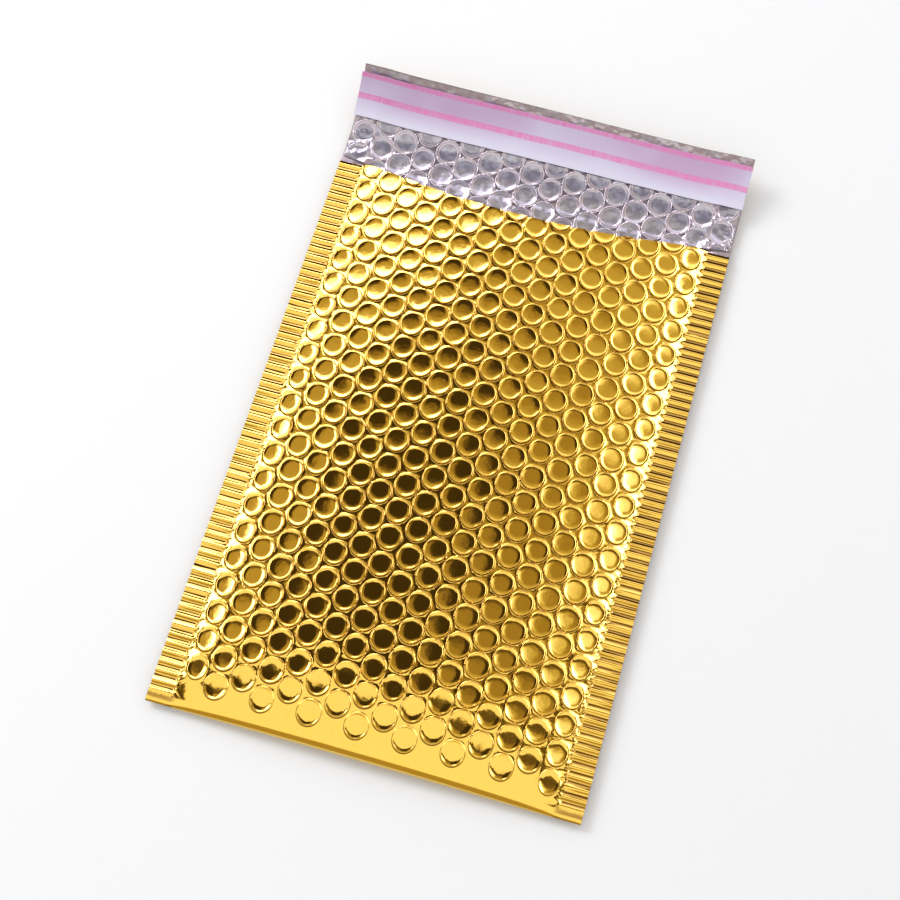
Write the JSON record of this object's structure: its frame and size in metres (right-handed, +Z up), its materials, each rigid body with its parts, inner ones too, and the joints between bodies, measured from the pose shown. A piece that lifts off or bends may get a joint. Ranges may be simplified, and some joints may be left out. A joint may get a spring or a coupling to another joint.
{
  "type": "padded envelope",
  "caption": "Gold metallised bubble mailer lying on its back: pouch with crimped side seams, folded bottom, and an open flap with a release strip over its adhesive.",
  "frame": {"origin": "on the surface it lies on, under the middle of the whole envelope with its flap open", "axes": "+X across the width, +Y from the bottom fold towards the flap, +Z up out of the front wall"},
  "size_m": [0.1812, 0.3058, 0.0218],
  "materials": {
    "gold_film": "mirror-bright gold metallised plastic film",
    "clear_bubble": "clear glossy polyethylene bubble film",
    "hot_melt": "tacky translucent hot-melt adhesive",
    "release_film": "lavender-white siliconised film with two pink stripes"
  },
  "bodies": {
    "root": {"outer_film": "gold_film", "bubble_liner": "clear_bubble", "adhesive_band": "hot_melt", "release_strip": "release_film"}
  },
  "joints": []
}
